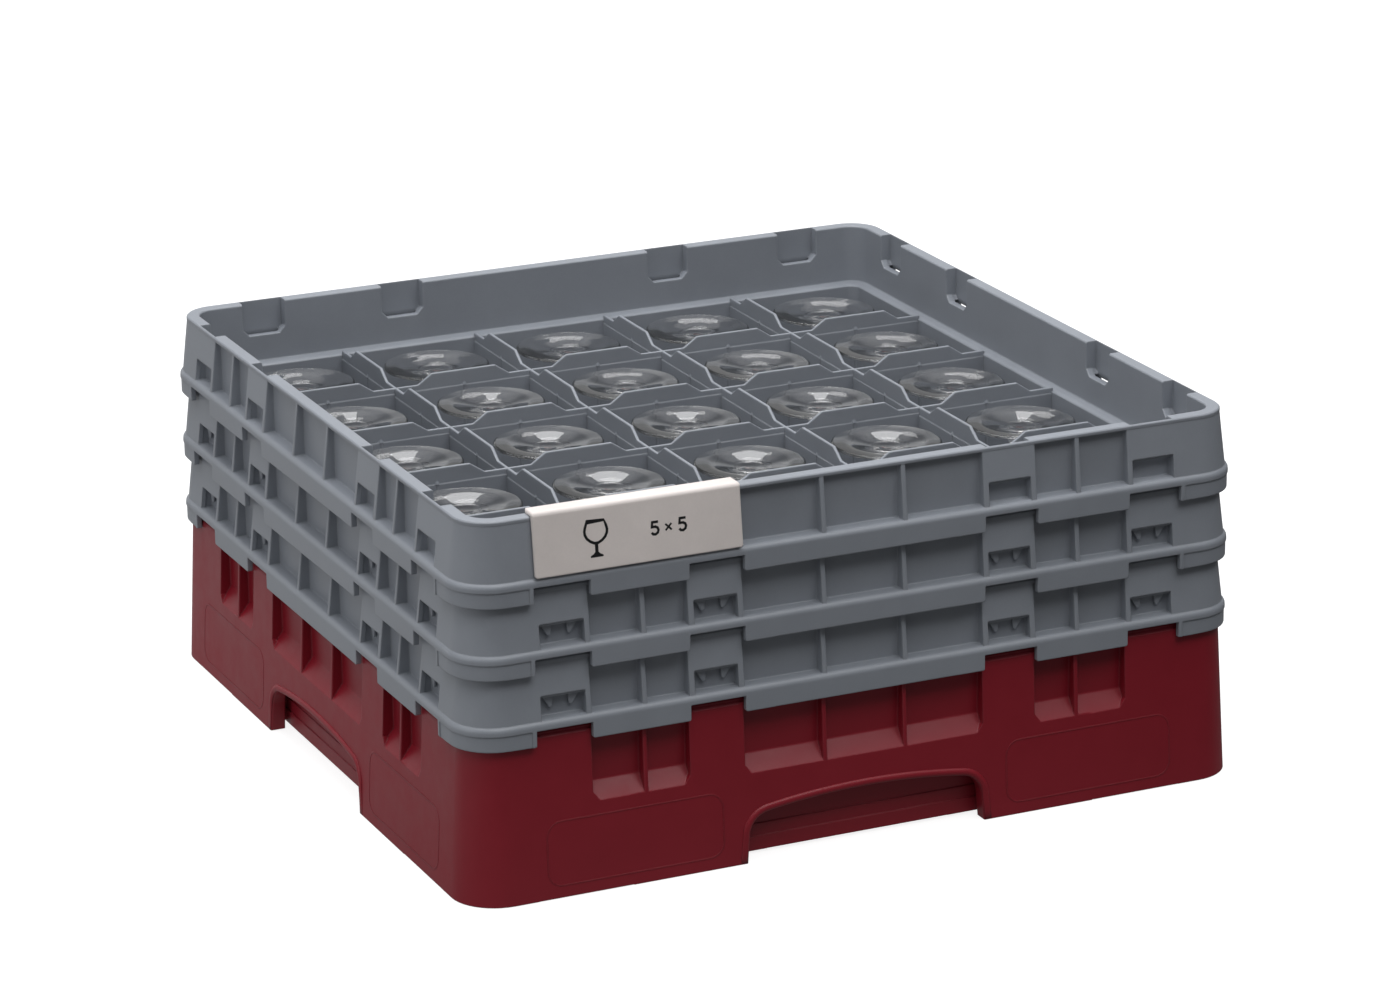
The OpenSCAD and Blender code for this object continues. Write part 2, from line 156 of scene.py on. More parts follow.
def bevel_pass(bm, want, width, segments, convex=None, min_angle=28.0, room=2.3):
    """Rounds every wanted edge that has room for it on both faces and at both ends."""
    bm.normal_update()
    bm.edges.index_update()
    faces = set()
    candidates = []
    for e in bm.edges:
        if len(e.link_faces) != 2:
            continue
        if not min_angle < math.degrees(e.calc_face_angle(0.0)) < MAX_BEVEL_ANGLE:
            continue
        if convex is not None and e.is_convex != convex:
            continue
        if want(e):
            candidates.append(e)
            faces.update(e.link_faces)
    reach = {}
    for f in faces:
        for loop, distance in zip(f.loops, in_plane_width(f)):
            reach.setdefault(loop.edge.index, []).append(distance)
    keep = [e for e in candidates
            if min(reach[e.index]) >= room * width
            and ends_clear(e, width)
            and e.calc_length() > 0.4 * width]
    keep = roomy(keep, width)
    settings = dict(offset=width, offset_type="OFFSET", segments=segments, profile=0.5,
                    affect="EDGES", clamp_overlap=False, loop_slide=True, material=-1)
    # bevel a copy first, and leave out the edges round any face that comes out folded
    tag = bm.faces.layers.int.get("tag") or bm.faces.layers.int.new("tag")
    for _ in range(4):
        if not keep:
            break
        bm.faces.index_update()
        bm.edges.index_update()
        for f in bm.faces:
            f[tag] = f.index
        trial = bm.copy()
        trial.edges.ensure_lookup_table()
        bmesh.ops.bevel(trial, geom=[trial.edges[e.index] for e in keep], **settings)
        trial_tag = trial.faces.layers.int["tag"]
        bad = {f[trial_tag] for f in folded(trial)}
        trial.free()
        if not bad:
            break
        keep = roomy([e for e in keep if not any(f.index in bad for f in e.link_faces)], width)
    if keep:
        bmesh.ops.bevel(bm, geom=keep, **settings)


# ---------------------------------------------------------------- mesh helpers
MERGE = 6e-5  # closes hair-thin steps, in metres
FLAT_ANGLE = math.radians(0.6)  # faces closer than this count as one flat face
SHARP_ANGLE = 32.0


def tidy(bm, planes):
    """Joins split vertices and flat triangles, but never across a seam plane (axis, place)."""
    bmesh.ops.remove_doubles(bm, verts=bm.verts, dist=2e-6)
    bmesh.ops.remove_doubles(bm, verts=bm.verts, dist=MERGE)
    bmesh.ops.dissolve_degenerate(bm, dist=MERGE * 0.5, edges=bm.edges)
    for axis, place in planes:
        point = Vector((0, 0, 0))
        normal = Vector((0, 0, 0))
        point[axis] = place
        normal[axis] = 1.0
        cut = bmesh.ops.bisect_plane(bm, geom=bm.verts[:] + bm.edges[:] + bm.faces[:],
                                     dist=1e-7, plane_co=point, plane_no=normal)
        for item in cut["geom_cut"]:
            if isinstance(item, bmesh.types.BMEdge):
                item.seam = True
    bmesh.ops.dissolve_limit(bm, angle_limit=FLAT_ANGLE, verts=bm.verts, edges=bm.edges,
                             use_dissolve_boundaries=False, delimit={"SEAM"})
    bm.normal_update()


def to_mesh(bm, name):
    mesh = bpy.data.meshes.new(name)
    bm.to_mesh(mesh)
    bm.free()
    return mesh


def to_smooth_mesh(bm, name):
    """Turns the normals outwards and makes a mesh with smooth faces."""
    bmesh.ops.recalc_face_normals(bm, faces=bm.faces)
    mesh = to_mesh(bm, name)
    for polygon in mesh.polygons:
        polygon.use_smooth = True
    return mesh


def finish_mesh(bm, name):
    """Triangulates the many-sided faces and marks the sharp edges."""
    bmesh.ops.dissolve_degenerate(bm, dist=1e-6, edges=bm.edges)
    bmesh.ops.triangulate(bm, faces=[f for f in bm.faces if len(f.verts) > 4],
                          quad_method="BEAUTY", ngon_method="BEAUTY")
    # a large flat face (areas in mm2) keeps its own shading beside a narrow rounding
    area = {f: f.calc_area() * 1e6 for f in bm.faces}
    for e in bm.edges:
        angle = math.degrees(e.calc_face_angle(0.0))
        areas = sorted(area[f] for f in e.link_faces)
        uneven = len(areas) == 2 and areas[1] > 15 and areas[1] > 4 * areas[0]
        e.smooth = not (angle > SHARP_ANGLE or (angle > 8.5 and uneven))
    for f in bm.faces:
        f.smooth = True
    return to_mesh(bm, name)


def add_piece(name, mesh, body, material, replaced=None, location=(0, 0, 0)):
    piece = bpy.data.objects.new(name, mesh)
    scene.collection.objects.link(piece)
    piece.location = location
    if not mesh.materials:
        mesh.materials.append(material)
    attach(piece, body)
    if replaced:
        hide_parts(replaced)
    return piece


def add_moulding(name, mesh, body, material, replaced):
    """Adds a piece shaded mainly by its large faces."""
    piece = add_piece(name, mesh, body, material, replaced)
    modifier = piece.modifiers.new("weighted_normals", "WEIGHTED_NORMAL")
    modifier.mode = "FACE_AREA"
    modifier.weight = 100
    modifier.keep_sharp = True


# ---------------------------------------------------------------- node helpers
class Nodes:
    """Short way to build a node tree. An input takes either a value or a socket to link."""

    def __init__(self, owner):
        owner.use_nodes = True
        self.tree = owner.node_tree
        self.tree.nodes.clear()

    def feed(self, socket, value):
        if isinstance(value, bpy.types.NodeSocket):
            self.tree.links.new(value, socket)
        elif socket.type == "RGBA":
            socket.default_value = (*value, 1.0)
        else:
            socket.default_value = value

    def new(self, kind, **inputs):
        """Makes a node; an underscore in an input's name stands for a space."""
        node = self.tree.nodes.new(kind)
        for name, value in inputs.items():
            self.feed(node.inputs[name.replace("_", " ")], value)
        return node

    def math(self, operation, *values):
        node = self.new("ShaderNodeMath")
        node.operation = operation
        for socket, value in zip(node.inputs, values):
            self.feed(socket, value)
        return node.outputs[0]

    def noise(self, vector, scale, detail=3.0, rough=0.5):
        node = self.new("ShaderNodeTexNoise", Scale=scale, Detail=detail, Roughness=rough,
                        Vector=vector)
        return node.outputs["Fac"]

    def ramp(self, value, source, target=(0.0, 1.0), kind="LINEAR"):
        """Maps the source range onto the target range, clamped."""
        node = self.new("ShaderNodeMapRange")
        node.clamp = True
        node.interpolation_type = kind
        names = ("From Min", "From Max", "To Min", "To Max")
        for name, limit in zip(names, source + target):
            self.feed(node.inputs[name], limit)
        self.feed(node.inputs["Value"], value)
        return node.outputs["Result"]

    def mix(self, factor, first, second):
        """Mixes two colours."""
        node = self.new("ShaderNodeMix")
        node.data_type = "RGBA"
        for index, value in ((0, factor), (6, first), (7, second)):
            self.feed(node.inputs[index], value)
        return node.outputs[2]

    def combine(self, kind, *values):
        """A node with its inputs filled in order; returns its first output."""
        node = self.new(kind)
        for socket, value in zip(node.inputs, values):
            self.feed(socket, value)
        return node.outputs[0]

    def bump(self, **inputs):
        return self.new("ShaderNodeBump", **inputs).outputs[0]


def new_material(name):
    material = bpy.data.materials.new(name)
    N = Nodes(material)
    output = N.new("ShaderNodeOutputMaterial")
    position = N.new("ShaderNodeTexCoord").outputs["Object"]
    return material, N, output.inputs[0], position


# ---------------------------------------------------------------- materials
GREY = (0.270, 0.290, 0.325)
MAROON = (0.250, 0.009, 0.020)
BEIGE = (0.78, 0.715, 0.685)
MIDDLE = (0.3, 0.7)  # the part of a noise's range that is stretched out


def plastic(name, colour, scuff, edge, rough=0.40, grain=1.0, specular=0.5):
    """Moulded plastic: slow colour drift, fine grain, slight waves, rubbed edges, scratches.

    edge is how far the rubbed edges turn to the scuff colour.
    """
    material, N, surface, position = new_material(name)
    slow = N.noise(position, scale=9.0, detail=3.0, rough=0.55)
    mid = N.noise(position, scale=70.0, detail=4.0, rough=0.6)
    fine = N.noise(position, scale=900.0, detail=2.0, rough=0.5)
    # brightness drift
    drift = N.math("ADD", N.ramp(slow, MIDDLE, target=(0.955, 1.035)),
                   N.ramp(mid, MIDDLE, target=(-0.022, 0.022)))
    drift = N.math("ADD", drift, N.ramp(fine, MIDDLE, target=(-0.012, 0.012)))
    tint = N.new("ShaderNodeHueSaturation", Color=colour, Value=drift).outputs[0]
    # rubbed edges: where the rounded normal leaves the true one, in patches
    bevel = N.new("ShaderNodeBevel", Radius=1.1 * MM)
    bevel.samples = 4
    rounded_normal = bevel.outputs[0]
    dot = N.new("ShaderNodeVectorMath")
    dot.operation = "DOT_PRODUCT"
    N.feed(dot.inputs[0], rounded_normal)
    N.feed(dot.inputs[1], N.new("ShaderNodeNewGeometry").outputs["True Normal"])
    rub = N.ramp(N.math("SUBTRACT", 1.0, dot.outputs["Value"]), source=(0.015, 0.16))
    patches = N.ramp(N.noise(position, scale=38.0, detail=5.0, rough=0.65),
                     source=(0.42, 0.62))
    patch_gain, patch_floor = 0.75, 0.25  # rubbing between the patches stays at the floor
    rub = N.math("MULTIPLY", rub, N.math("MULTIPLY_ADD", patches, patch_gain, patch_floor))
    tint = N.mix(N.math("MULTIPLY", rub, edge), tint, scuff)
    # thin, mostly level scratches, in some areas only
    stretched = N.new("ShaderNodeMapping", Scale=(60.0, 60.0, 1500.0), Vector=position)
    scratch = N.noise(stretched.outputs[0], scale=1.0, detail=3.0, rough=0.7)
    scratch = N.ramp(scratch, source=(0.67, 0.74))
    areas = N.ramp(N.noise(position, scale=16.0, detail=2.0), source=(0.5, 0.68))
    scratch = N.math("MULTIPLY", scratch, areas)
    scratch_tint, scratch_depth = 0.12, 0.8  # strength in the colour and in the relief
    tint = N.mix(N.math("MULTIPLY", scratch, scratch_tint), tint, scuff)
    # gloss, duller on the rubbed edges
    rough_spread, rub_rough = 0.045, 0.10
    gloss = N.math("ADD",
                   N.ramp(mid, MIDDLE, target=(rough - rough_spread, rough + rough_spread)),
                   N.ramp(slow, MIDDLE, target=(-0.03, 0.03)))
    gloss = N.math("ADD", gloss, N.math("MULTIPLY", rub, rub_rough))
    # relief: slight waviness of big walls, then mould texture and scratches
    waves = N.noise(position, scale=26.0, detail=2.0, rough=0.5)
    texture = N.noise(position, scale=1500.0, detail=2.0, rough=0.55)
    wavy = N.bump(Strength=0.20, Distance=0.6 * MM, Height=waves, Normal=rounded_normal)
    height = N.math("SUBTRACT", texture, N.math("MULTIPLY", scratch, scratch_depth))
    relief = N.bump(Strength=0.30 * grain, Distance=0.1 * MM, Height=height, Normal=wavy)
    shader = N.new("ShaderNodeBsdfPrincipled", Base_Color=tint, Roughness=gloss, IOR=1.49,
                   Specular_IOR_Level=specular, Normal=relief)
    N.feed(surface, shader.outputs[0])
    return material


def clear_glass(name):
    """Clear glass with water spots, a trace of dried film and light shadows."""
    material, N, surface, position = new_material(name)
    spots = N.ramp(N.noise(position, scale=420.0, detail=3.0, rough=0.6), source=(0.60, 0.74))
    film = N.ramp(N.noise(position, scale=30.0, detail=3.0), source=(0.4, 0.7))
    spot_gain, clean_rough = 0.012, 0.0
    roughness = N.math("MULTIPLY_ADD", spots, spot_gain, clean_rough)
    relief = N.bump(Strength=0.02, Distance=0.2 * MM,
                    Height=N.noise(position, scale=60.0, detail=1.5))
    glass = N.new("ShaderNodeBsdfPrincipled", Transmission_Weight=1.0, IOR=1.54,
                  Base_Color=(0.985, 0.98, 0.975), Roughness=roughness, Normal=relief)
    dried = N.new("ShaderNodeBsdfDiffuse", Color=(0.75, 0.78, 0.80))
    film_gain, film_floor = 0.012, 0.004
    filmed = N.combine("ShaderNodeMixShader",
                       N.math("MULTIPLY_ADD", film, film_gain, film_floor),
                       glass.outputs[0], dried.outputs[0])
    # shadow and diffuse rays pass straight through
    rays = N.new("ShaderNodeLightPath").outputs
    through = N.new("ShaderNodeBsdfTransparent", Color=(0.88, 0.88, 0.88))
    passing = N.math("MAXIMUM", rays["Is Shadow Ray"], rays["Is Diffuse Ray"])
    shader = N.combine("ShaderNodeMixShader", passing, filmed, through.outputs[0])
    N.feed(surface, shader)
    return material


def label_ink():
    material = bpy.data.materials.new("label_ink_look")
    material.use_nodes = True
    inputs = material.node_tree.nodes["Principled BSDF"].inputs
    inputs["Base Color"].default_value = (0.006, 0.006, 0.007, 1)
    inputs["Roughness"].default_value = 0.42
    return material


grey_plastic = plastic("extender_plastic_look", GREY, scuff=(0.50, 0.52, 0.55), edge=0.40)
maroon_plastic = plastic("base_plastic_look", MAROON, scuff=(0.46, 0.12, 0.14), edge=0.30,
                         specular=0.45)
label_plastic = plastic("label_plastic_look", BEIGE, scuff=(0.93, 0.90, 0.88), edge=0.3,
                        rough=0.42, grain=0.7)
glass_material = clear_glass("clear_glass_look")


# ---------------------------------------------------------------- mouldings
# planes across x and y where flat faces stay divided
SEAMS = [(axis, place * MM) for axis in (0, 1)
         for place in (-208.0, -149.5, -58.8, 58.8, 149.5, 208.0)]
EXTENDER_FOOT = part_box("extender_1")[0].z
EXTENDER_DATUM = EXTENDER_FOOT / MM + 31.2  # height, in mm, that the two below are taken from
TAB_Z = EXTENDER_DATUM - 7.4
WINDOW_Z = EXTENDER_DATUM + 21.3


def side_ends(edge):
    """(place along the side, distance out from the middle, height) of both ends, in mm."""
    ends = []
    for vert in edge.verts:
        x, y, z = vert.co / MM
        ends.append((x, abs(y), z) if abs(y) >= abs(x) else (y, abs(x), z))
    return ends


def flare(z):
    """Distance of the base's outer wall from the middle at height z, in mm."""
    return 251 - 5.3 * z / 100.5


def hand_edge(edge):
    """Edges of the hand openings in the base's outer wall, without the foot line."""
    for vert in edge.verts:
        out = max(abs(vert.co.x), abs(vert.co.y)) / MM
        if abs(out - flare(vert.co.z / MM)) >= 0.25:
            return False
    a, b = side_ends(edge)
    if max(abs(a[0]), abs(b[0])) > 78 or max(a[2], b[2]) > 35.2:
        return False
    return not (a[2] < 0.1 and b[2] < 0.1)


def runs_inwards(a, b, z):
    """True if an edge lies at height z and runs square to its side."""
    return all(abs(end[2] - z) < 0.1 for end in (a, b)) and abs(a[0] - b[0]) < 0.05


def tab_corner(edge):
    """Lower corners of the skirt tabs."""
    a, b = side_ends(edge)
    return runs_inwards(a, b, TAB_Z) and 2.4 < abs(a[1] - b[1]) < 4


def window_corner(edge):
    """Upper corners of the wash windows in the outer panels."""
    a, b = side_ends(edge)
    return runs_inwards(a, b, WINDOW_Z) and all(241.5 < end[1] < 249.5 for end in (a, b))


def mould(node, special=(), fine=0.5 * MM, seams=SEAMS):
    """Rounds a CAD piece: special edges first, then all that have room, then the tight ones."""
    bm = bmesh.new()
    bm.from_mesh(nodes[node].data)
    tidy(bm, seams)
    for settings in special:
        bevel_pass(bm, **settings)
    bevel_pass(bm, want=lambda e: True, width=fine, segments=2)
    bevel_pass(bm, want=lambda e: e.is_convex, width=fine * 0.5, segments=1, min_angle=50)
    return finish_mesh(bm, node + "_mesh")


base_mesh = mould("base_rack", [dict(want=hand_edge, width=0.9 * MM, segments=3, room=2.0)])
add_moulding("base_moulding", base_mesh, "base", maroon_plastic, "base_rack")

extender_mesh = mould("extender_1", [
    dict(want=tab_corner, width=1.1 * MM, segments=3, convex=True, room=2.0),
    dict(want=window_corner, width=1.0 * MM, segments=3, convex=False, room=2.0)])
for k in (1, 2, 3):
    node = "extender_%d" % k
    mesh = extender_mesh
    if k > 1:
        mesh = extender_mesh.copy()
        mesh.transform(Matrix.Translation((0, 0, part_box(node)[0].z - EXTENDER_FOOT)))
    add_moulding("extender_moulding_%d" % k, mesh, node, grey_plastic, node)

add_moulding("label_moulding", mould("label_clip", fine=0.6 * MM, seams=()),
             "label", label_plastic, "label_clip")


# ---------------------------------------------------------------- strips and patches
# Sizes are in mm. Cross sections: (place across in half widths, lift in heights);
# None is a foot sunk SINK into the face.
FLAT = ((-1.0, None), (-1.0, 0.75), (0.0, 1.0), (1.0, 0.75), (1.0, None))
ROUND = ((-1.0, None), (-0.92, 0.2), (-0.7, 0.62), (-0.36, 0.92), (0.0, 1.0),
         (0.36, 0.92), (0.7, 0.62), (0.92, 0.2), (1.0, None))
SINK = -0.05


def ribbon(path, width, height, place, closed=False, shape=FLAT):
    """A strip along (x, z) points, laid on a face by place(x, z, lift): vertices and faces."""
    n = len(path)
    rows = len(shape)
    verts, faces = [], []
    for i, (x, z) in enumerate(path):
        before = path[(i - 1) % n]
        start = before if closed or i else path[i]
        end = path[(i + 1) % n] if closed or i < n - 1 else path[i]
        dx, dz = end[0] - start[0], end[1] - start[1]
        length = math.hypot(dx, dz) or 1.0
        nx, nz = -dz / length, dx / length
        if 0 < i < n - 1 or closed:
            # widen at a bend so that the strip keeps its width
            bx, bz = x - before[0], z - before[1]
            length = math.hypot(bx, bz) or 1.0
            cosine = max(0.4, (-bz / length) * nx + (bx / length) * nz)
            nx, nz = nx / cosine, nz / cosine
        for across, lift in shape:
            verts.append(place(x - nx * across * width / 2, z - nz * across * width / 2,
                               SINK if lift is None else height * lift))
    for i in range(n if closed else n - 1):
        j = (i + 1) % n
        for k in range(rows):
            m = (k + 1) % rows
            faces.append((rows * i + k, rows * j + k, rows * j + m, rows * i + m))
    if not closed:
        faces.append(tuple(range(rows)))
        faces.append(tuple(rows * (n - 1) + k for k in range(rows - 1, -1, -1)))
    return verts, faces


def patch(outline, height, place):
    """A filled flat shape on a face."""
    n = len(outline)
    verts = [place(x, z, lift) for lift in (SINK, height) for x, z in outline]
    faces = [tuple(range(n - 1, -1, -1)), tuple(range(n, 2 * n))]
    faces += [(i, (i + 1) % n, n + (i + 1) % n, n + i) for i in range(n)]
    return verts, faces


def joined(name, parts):
    """One mesh from several (vertices, faces) pairs."""
    bm = bmesh.new()
    for verts, faces in parts:
        made = [bm.verts.new(tuple(c * MM for c in v)) for v in verts]
        for face in faces:
            bm.faces.new([made[i] for i in face])
    mesh = to_smooth_mesh(bm, name)
    mesh.set_sharp_from_angle(angle=math.radians(50))
    return mesh


def mirrored(points):
    """The same (x, z) points on the other side of x = 0, in reverse order."""
    return [(-x, z) for x, z in reversed(points)]


def rounded(x0, z0, x1, z1, r, steps=6):
    """Rectangle with rounded corners."""
    corners = ((x1 - r, z1 - r, 0), (x0 + r, z1 - r, 90), (x0 + r, z0 + r, 180),
               (x1 - r, z0 + r, 270))
    points = []
    for cx, cz, first in corners:
        for i in range(steps + 1):
            a = math.radians(first + 90 * i / steps)
            points.append((cx + r * math.cos(a), cz + r * math.sin(a)))
    return points


# ---------------------------------------------------------------- beads on the base
BEAD_LIMIT = 250.98  # beads reach no further out than this
HAND_TOP_R = 430.0  # arc along the top of a hand opening
HAND_CORNER_R = 14.0
HAND_TOP = 34.3
HAND_HALF = 75.5
HAND_GAP = 2.5  # from the opening to the middle of the bead
QUARTER_TURNS = ((1, 0), (0, 1), (-1, 0), (0, -1))  # (cosine, sine), from the front side


def on_side(turn):
    cosine, sine = turn

    def place(x, z, lift):
        y = -(flare(z) + min(lift, BEAD_LIMIT - flare(z)))
        return (x * cosine - y * sine, x * sine + y * cosine, z)
    return place


def hand_line():
    """Line round a hand opening, open at the foot."""
    arc_z = HAND_TOP - HAND_TOP_R
    corner_x = HAND_HALF - HAND_CORNER_R
    reach = HAND_TOP_R - HAND_CORNER_R
    corner_z = arc_z + math.sqrt(reach ** 2 - corner_x * corner_x)
    meet = math.degrees(math.acos(-corner_x / reach))
    left = [(-HAND_HALF - 1.5 - HAND_GAP, 0.4), (-HAND_HALF - 0.75 - HAND_GAP, 9.0)]
    r = HAND_CORNER_R + HAND_GAP
    for i in range(9):
        a = math.radians(180 - (180 - meet) * i / 8)
        left.append((-corner_x + r * math.cos(a), corner_z + r * math.sin(a)))
    top = []
    r = HAND_TOP_R + HAND_GAP
    for i in range(1, 24):
        a = math.radians(meet + (180 - 2 * meet) * i / 24)
        top.append((r * math.cos(a), arc_z + r * math.sin(a)))
    return left + top + mirrored(left)


beads = []
for turn in QUARTER_TURNS:
    for x0, x1 in ((-202, -92), (92, 202)):
        beads.append(ribbon(rounded(x0, 7.5, x1, 46.0, r=9.0), width=1.1, height=0.13,
                            place=on_side(turn), closed=True))
for turn in QUARTER_TURNS:
    beads.append(ribbon(hand_line(), width=4.6, height=1.25, place=on_side(turn), shape=ROUND))
add_piece("base_beads", joined("base_beads_mesh", beads), "base",
          maroon_plastic)


# ---------------------------------------------------------------- print on the label
label_low, label_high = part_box("label_clip")
LABEL_Z = label_low.z / MM
LABEL_X = (label_low.x + label_high.x) / 2 / MM
LABEL_OUT = 250.75  # distance of the face's lower edge from the middle
LABEL_LEAN = 0.10873  # inward lean per mm of height
LABEL_NORMAL = (0.994, 0.108)  # outward and upward parts of a lift
INK = 0.03  # thickness of the print

SYMBOL_X = LABEL_X - 26.0
TEXT_X = LABEL_X + 18.6 - 11.2
TEXT_Z = 14.6
DIGIT_PITCH = 17.0
# (x, z): left halves of the glass symbol, then the strokes of "5" and of the cross
BOWL_HALF = [(-1.2, 15.2), (-3.6, 16.4), (-5.6, 18.2), (-6.7, 20.4), (-6.9, 22.4),
             (-6.4, 24.6), (-5.2, 27.7)]
STEM_HALF = [(-1.0, 15.6), (-1.0, 10.2), (-1.9, 9.1), (-3.9, 8.1), (-3.9, 7.1)]
FIVE = [(3.9, 6.0), (0.9, 6.0), (0.6, 3.3), (1.5, 3.8), (2.5, 3.8), (3.5, 3.2), (3.9, 2.1),
        (3.5, 0.9), (2.4, 0.2), (1.2, 0.35), (0.4, 1.2)]
CROSS = [[(0, 0), (3.0, 3.0)], [(0, 3.0), (3.0, 0)]]


def on_label(x, z, lift):
    """z is measured up from the label's lower edge."""
    out = LABEL_OUT - z * LABEL_LEAN + lift * LABEL_NORMAL[0]
    return (x, -out, LABEL_Z + z + lift * LABEL_NORMAL[1])


def moved(points, x0, z0=0.0, scale=1.0):
    return [(x0 + scale * x, z0 + scale * z) for x, z in points]


ink = label_ink()
marks = [ribbon(moved(BOWL_HALF + mirrored(BOWL_HALF), SYMBOL_X), 1.6, INK, on_label,
                closed=True),
         patch(moved(STEM_HALF + mirrored(STEM_HALF), SYMBOL_X), INK, on_label)]
for shift in (0.0, DIGIT_PITCH):
    marks.append(ribbon(moved(FIVE, TEXT_X + shift, TEXT_Z, scale=1.22), 1.5, INK, on_label))
for stroke in CROSS:
    marks.append(ribbon(moved(stroke, TEXT_X + 9.1, TEXT_Z + 1.6, scale=1.25), 1.15, INK,
                        on_label))
add_piece("label_print", joined("label_print_mesh", marks), "label", ink)


# ---------------------------------------------------------------- glasses
GLASS_H = 169.7
# (radius, depth below the top) in mm. The foot is on top and the bowl opens downwards.
FOOT_TOP = [(0, 3.6), (3.5, 3.55), (7, 3.3), (8.8, 3.2), (9.6, 2.86), (10.6, 2.74), (13, 2.3),
            (16, 1.73), (19, 1.16), (21.4, 0.7), (22.6, 0.5), (23.6, 0.34), (24.8, 0.22),
            (26.5, 0.14), (30, 0.1), (32.6, 0.1)]
FOOT_EDGE = [(33.3, 0.25), (33.75, 0.6), (33.95, 1.05), (33.85, 1.5), (33.4, 1.85)]
FOOT_AND_STEM = [(33.4, 1.85), (28, 2.9), (20, 4.8), (13, 7.6), (8.2, 11.6), (5.6, 16.5),
                 (4.35, 22), (3.9, 30), (3.85, 42), (3.95, 54), (4.6, 63), (6.6, 69.0)]
BOWL_OUTSIDE = [(6.6, 69.0), (12, 72.0), (20, 77.0), (28, 84.2), (34.5, 93.5), (38.2, 104),
                (39.4, 115), (38.6, 128), (36.4, 142), (33.6, 156), (31.2, 168.8)]
BOWL_INSIDE = [(29.65, 168.8), (32.1, 156), (34.9, 142), (37.1, 128), (37.9, 115),
               (36.7, 104.3), (33.1, 94.5), (27.0, 86.2), (19.0, 80.0), (11.0, 76.4),
               (5.0, 75.0), (0, 74.6)]
# (radius, height above the rim's lowest point)
RIM = [(31.0, 0.35), (30.6, 0.02), (30.15, 0.0), (29.75, 0.3), (29.65, 0.9)]


def lathe(profile, segments, name):
    """Turns (radius, height) points, first and last on the axis, into a closed mesh."""
    bm = bmesh.new()
    rings = []
    for r, z in profile:
        if r < 1e-7:
            rings.append([bm.verts.new((0, 0, z))])
            continue
        angles = [2 * math.pi * i / segments for i in range(segments)]
        rings.append([bm.verts.new((r * math.cos(a), r * math.sin(a), z)) for a in angles])
    for a, b in zip(rings, rings[1:]):
        for i in range(segments):
            j = (i + 1) % segments
            if len(a) == 1:
                bm.faces.new((a[0], b[i], b[j]))
            elif len(b) == 1:
                bm.faces.new((a[i], b[0], a[j]))
            else:
                bm.faces.new((a[i], b[i], b[j], a[j]))
    return to_smooth_mesh(bm, name)


def spline(points, steps):
    """Catmull-Rom curve through the points."""
    curve = []
    padded = [points[0], *points, points[-1]]
    for four in zip(padded, padded[1:], padded[2:], padded[3:]):
        for k in range(steps):
            t = k / steps
            curve.append(tuple(
                0.5 * (2 * b + (c - a) * t + (2 * a - 5 * b + 4 * c - d) * t * t
                       + (3 * b - a - 3 * c + d) * t ** 3)
                for a, b, c, d in zip(*four)))
    curve.append(points[-1])
    return curve


def glass_mesh():
    def from_top(points):
        return [(r, GLASS_H - depth) for r, depth in points]

    profile = spline(from_top(FOOT_TOP), 4)
    profile += from_top(FOOT_EDGE)
    profile += spline(from_top(FOOT_AND_STEM), 5)[1:]
    profile += spline(from_top(BOWL_OUTSIDE), 6)[1:]
    profile += RIM
    profile += spline(from_top(BOWL_INSIDE), 6)[1:]
    return lathe([(r * MM, z * MM) for r, z in profile], 96, "stem_glass_mesh")


stem_glass = glass_mesh()
for row in range(1, 6):
    for column in range(1, 6):
        node = "glass_r%d_c%d" % (row, column)
        low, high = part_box(node)
        add_piece("stem_" + node, stem_glass, node, glass_material, node,
                  location=((low.x + high.x) / 2, (low.y + high.y) / 2, low.z))


# ---------------------------------------------------------------- camera
CAMERA_RIGHT = (0.909002, -0.416642, -0.011204)
CAMERA_UP = (0.1392, 0.27814, 0.950401)
CAMERA_BACK = (-0.39286, -0.865475, 0.310827)
CAMERA_PLACE = (-1.208696, -2.681998, 1.098171)

camera_data = bpy.data.cameras.new("camera")
camera = bpy.data.objects.new("camera", camera_data)
scene.collection.objects.link(camera)
camera_data.sensor_width = 36.0
camera_data.sensor_fit = "HORIZONTAL"
camera_data.lens = 128.4591857
camera_data.clip_start = 0.05
camera_data.clip_end = 60.0
camera.matrix_world = Matrix(
    (*zip(CAMERA_RIGHT, CAMERA_UP, CAMERA_BACK, CAMERA_PLACE), (0, 0, 0, 1)))
scene.camera = camera


# ---------------------------------------------------------------- floor
FLOOR_SIZE = 14.0
FLOOR_Z = -0.0004
FLOOR_BACK, FLOOR_FRONT = 0.42, 0.085  # strengths of the light pool


